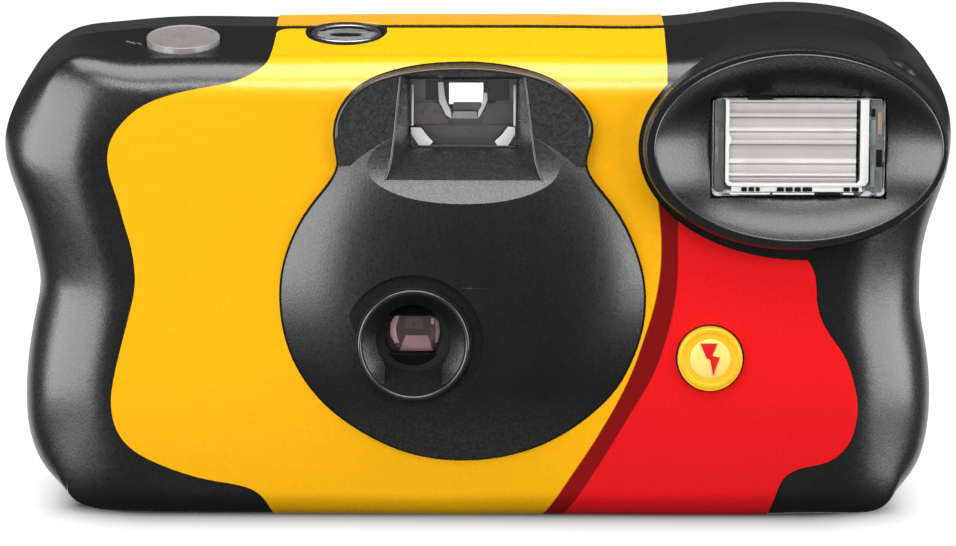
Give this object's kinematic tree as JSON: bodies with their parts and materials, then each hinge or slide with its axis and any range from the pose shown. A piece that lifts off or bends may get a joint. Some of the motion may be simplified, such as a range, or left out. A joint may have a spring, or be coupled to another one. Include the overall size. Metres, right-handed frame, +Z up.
{
  "type": "disposable film camera",
  "caption": "Single-use 35 mm camera with built-in flash, rounded grips, round lens panel, thumbwheel film advance and bottom film door.",
  "frame": {"origin": "centre of the bounding box's bottom face, where the camera stands", "axes": "+X along the long side, to the viewer's right when the lens faces the viewer; the lens looks along -Y; +Z up"},
  "size_m": [0.1195, 0.037, 0.0623],
  "materials": {
    "shell_black": "fine spark-eroded grain",
    "label_print": "glossy printed label, yellow and red fields",
    "label_yellow": "glossy printed label",
    "clear_plastic": "clear moulded acrylic",
    "glass_tube": "clear glass",
    "lens_plastic": "polished acrylic lens",
    "frame_black": "moulded black",
    "bright_metal": "polished",
    "blackened_metal": "blackened",
    "spring_steel": "wire",
    "grey_plastic": "moulded",
    "film_can": "plain painted tin",
    "film": "film base",
    "board": "solder-masked board",
    "brass_strip": "plated strip",
    "capacitor_sleeve": "plastic sleeve",
    "coil_tape": "taped winding",
    "component_body": "moulded",
    "amber_plastic": "translucent",
    "battery_jacket": "plain jacket",
    "button_grey": "satin metallic grey",
    "button_yellow": "gloss",
    "white_plastic": "moulded"
  },
  "bodies": {
    "root": {"front_cover": "shell_black", "rear_cover": "shell_black", "front_label": "label_print", "back_label": "label_yellow", "counter_window": "clear_plastic", "viewfinder_front_lens": "clear_plastic", "viewfinder_rear_lens": "clear_plastic", "viewfinder_tube": "frame_black", "flash_lens": "clear_plastic", "flash_reflector": "bright_metal", "flash_tube": "glass_tube", "main_frame": "frame_black", "front_lens_element": "lens_plastic", "rear_lens_element": "lens_plastic", "keeper_plate": "frame_black", "lens_retainer": "frame_black", "aperture_plate": "blackened_metal", "shutter_spring": "spring_steel", "lever_spring": "spring_steel", "metering_spring": "spring_steel", "anti_backup_pawl": "grey_plastic", "cartridge_shell": "film_can", "cartridge_end_caps": "film_can", "film_strip": "film", "circuit_board": "board", "flash_switch_contact": "brass_strip", "flash_capacitor": "capacitor_sleeve", "transformer": "coil_tape", "trigger_coil": "coil_tape", "board_components": "component_body", "ready_light": "glass_tube", "ready_light_pipe": "amber_plastic", "sync_contact": "brass_strip", "battery": "battery_jacket", "battery_contact_positive": "brass_strip", "battery_contact_negative": "brass_strip"},
    "release_button": {"shutter_button": "button_grey"},
    "flash_switch": {"flash_button": "button_yellow"},
    "wind": {"thumbwheel": "frame_black", "cartridge_spool": "grey_plastic"},
    "sprocket": {"sprocket_shaft": "grey_plastic"},
    "supply": {"film_roll": "film", "film_spool": "grey_plastic"},
    "counter": {"counter_wheel": "white_plastic"},
    "strike_lever": {"high_energy_lever": "grey_plastic"},
    "blade": {"shutter_blade": "blackened_metal"},
    "metering": {"metering_lever": "grey_plastic"},
    "door": {"film_door": "shell_black"}
  },
  "joints": [
    {"name": "shutter_press", "type": "slide", "parent": "root", "child": "release_button", "axis": [0, 0, -1], "range_m": [0, 0.0012], "stiffness_N_per_m": 500},
    {"name": "flash_press", "type": "slide", "parent": "root", "child": "flash_switch", "axis": [0, 1, 0], "range_m": [0, 0.0008], "stiffness_N_per_m": 500},
    {"name": "wheel_turn", "type": "hinge", "parent": "root", "child": "wind", "pos_m": [-0.0386, 0.0023, 0.05], "axis": [0, 0, 1], "continuous": true},
    {"name": "sprocket_turn", "type": "hinge", "parent": "root", "child": "sprocket", "pos_m": [-0.0175, 0.0088, 0.045], "axis": [0, 0, 1], "continuous": true},
    {"name": "supply_turn", "type": "hinge", "parent": "root", "child": "supply", "pos_m": [0.0385, 0.005, 0.0235], "axis": [0, 0, 1], "continuous": true},
    {"name": "counter_turn", "type": "hinge", "parent": "root", "child": "counter", "pos_m": [-0.0189, 0.0042, 0.054], "axis": [0, 0, 1], "continuous": true},
    {"name": "strike_lever_turn", "type": "hinge", "parent": "root", "child": "strike_lever", "pos_m": [-0.0095, 0, 0.0426], "axis": [0, 0, -1], "range_deg": [0, 18], "stiffness_Nm_per_rad": 0.01},
    {"name": "blade_turn", "type": "hinge", "parent": "root", "child": "blade", "pos_m": [-0.0125, -0.0096, 0.0315], "axis": [0, -1, 0], "range_deg": [0, 27.5]},
    {"name": "metering_turn", "type": "hinge", "parent": "root", "child": "metering", "pos_m": [-0.0195, -0.0068, 0.0473], "axis": [0, 0, 1], "range_deg": [0, 6]},
    {"name": "film_door_hinge", "type": "hinge", "parent": "root", "child": "door", "pos_m": [-0.0252, 0.001, 0.0016], "axis": [0, -1, 0], "range_deg": [0, 90]}
  ],
  "couplings": [
    {"joint": "sprocket_turn", "follows": "wheel_turn", "ratio": 0.881},
    {"joint": "supply_turn", "follows": "wheel_turn", "ratio": 0.571},
    {"joint": "counter_turn", "follows": "wheel_turn", "ratio": -0.0294},
    {"joint": "blade_turn", "follows": "strike_lever_turn", "ratio": 1.5},
    {"joint": "metering_turn", "follows": "shutter_press", "rad_per_m": 83.3}
  ]
}
